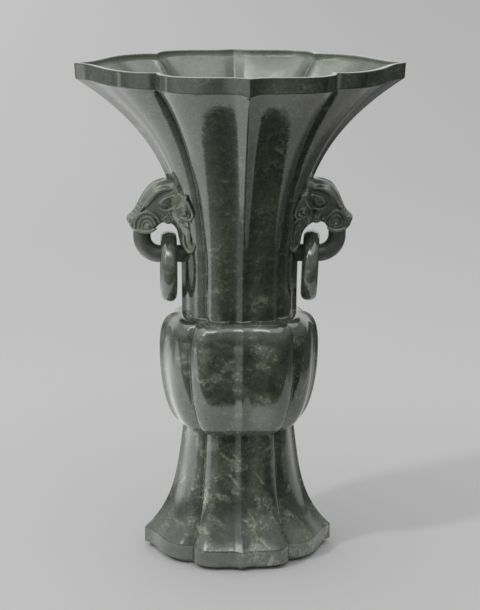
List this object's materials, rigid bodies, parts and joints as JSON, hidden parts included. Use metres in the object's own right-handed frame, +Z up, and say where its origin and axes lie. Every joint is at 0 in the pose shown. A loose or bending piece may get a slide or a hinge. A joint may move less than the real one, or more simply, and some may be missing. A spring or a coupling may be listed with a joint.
{
  "type": "vase",
  "caption": "Jade vase with a lobed trumpet mouth, a rounded bulb and a flared foot; carved beast-head handles on the neck hold hanging loose rings.",
  "frame": {"origin": "centre of the vase's plan on its rest face, at the base of the foot ring", "axes": "+Z up along the vase, +X towards the right-hand beast head as seen in the picture, +Y away from the camera, so the pictured broad face looks along -Y"},
  "size_m": [0.194, 0.146, 0.3],
  "materials": {
    "body_stone": "dark green nephrite, high polish, mottled and veined",
    "carved_stone": "green nephrite, carved in relief and polished",
    "dark_stone": "near-black green nephrite, smooth polish",
    "ring_stone": "green nephrite with pale clouds, high polish"
  },
  "bodies": {
    "vase": {"trumpet_neck": "body_stone", "bulb_section": "body_stone", "flared_foot": "body_stone", "right_beast_head": "carved_stone", "left_beast_head": "carved_stone", "right_fixed_loop": "dark_stone", "left_fixed_loop": "dark_stone"},
    "right_ring": {"right_loose_ring": "ring_stone"},
    "left_ring": {"left_loose_ring": "ring_stone"}
  },
  "joints": [
    {"name": "right_ring_swing", "type": "hinge", "parent": "vase", "child": "right_ring", "pos_m": [0.0426, 0, 0.1864], "axis": [1, 0, 0], "range_deg": [-40, 50]},
    {"name": "left_ring_swing", "type": "hinge", "parent": "vase", "child": "left_ring", "pos_m": [-0.0426, 0, 0.1864], "axis": [1, 0, 0], "range_deg": [-50, 50]}
  ]
}
